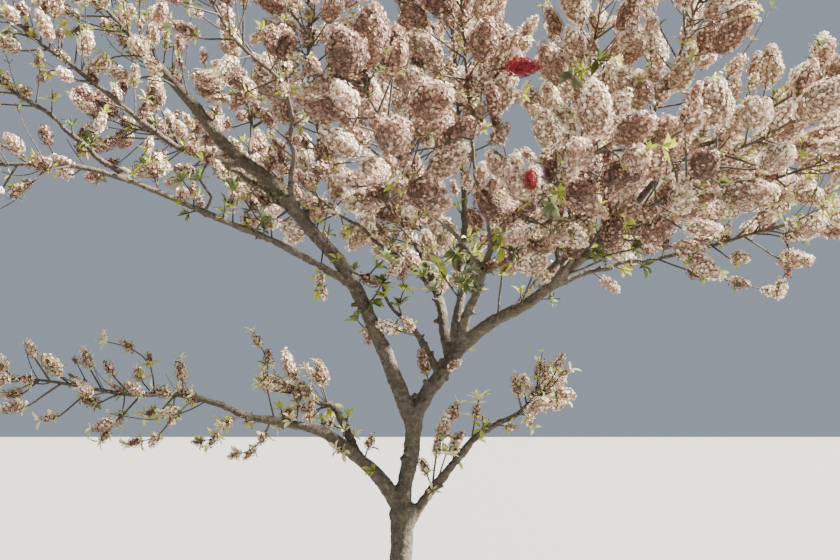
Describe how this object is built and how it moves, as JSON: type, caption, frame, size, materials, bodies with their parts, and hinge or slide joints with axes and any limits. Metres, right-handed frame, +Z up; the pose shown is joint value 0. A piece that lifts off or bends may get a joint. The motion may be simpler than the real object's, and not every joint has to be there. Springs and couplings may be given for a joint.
{
  "type": "apple tree",
  "caption": "Open-grown fruit tree in full pale pink blossom, with a short forked trunk, crooked spreading boughs and oval tufts of flowers with a few young leaves.",
  "frame": {"origin": "middle of the flat cut under the trunk, at ground level", "axes": "+Z up along the trunk, +X to the right as the tree is seen from the front, +Y away from the viewer"},
  "size_m": [6.1821, 5.0845, 5.0161],
  "materials": {
    "bark": "rough",
    "blossom": "matte"
  },
  "bodies": {
    "root": {"centre_riser": "bark", "centre_riser_mass": "blossom", "centre_stem": "bark", "fork_spur": "bark", "front_bough": "bark", "front_left_bough": "bark", "front_left_mass": "blossom", "front_mass": "blossom", "front_riser": "bark", "front_riser_mass": "blossom", "left_back_bough": "bark", "left_back_mass": "blossom", "left_back_riser": "bark", "left_back_riser_mass": "blossom", "left_far_bough": "bark", "left_far_mass": "blossom", "left_front_bough": "bark", "left_front_mass": "blossom", "left_long_bough": "bark", "left_long_mass": "blossom", "left_main_bough": "bark", "left_main_mass": "blossom", "left_middle_bough": "bark", "left_middle_mass": "blossom", "left_riser": "bark", "left_riser_mass": "blossom", "low_left_bough": "bark", "low_left_mass": "blossom", "low_left_spur": "bark", "low_left_spur_mass": "blossom", "low_right_bough": "bark", "low_right_mass": "blossom", "rear_bough": "bark", "rear_left_bough": "bark", "rear_left_mass": "blossom", "rear_mass": "blossom", "rear_right_bough": "bark", "rear_right_mass": "blossom", "rear_riser": "bark", "rear_riser_mass": "blossom", "right_back_bough": "bark", "right_back_mass": "blossom", "right_back_riser": "bark", "right_back_riser_mass": "blossom", "right_far_bough": "bark", "right_far_mass": "blossom", "right_front_bough": "bark", "right_front_mass": "blossom", "right_front_riser": "bark", "right_front_riser_mass": "blossom", "right_long_bough": "bark", "right_long_mass": "blossom", "right_low_bough": "bark", "right_low_mass": "blossom", "right_main_bough": "bark", "right_middle_bough": "bark", "right_middle_mass": "blossom", "right_riser": "bark", "right_riser_mass": "blossom", "trunk": "bark"}
  },
  "joints": []
}
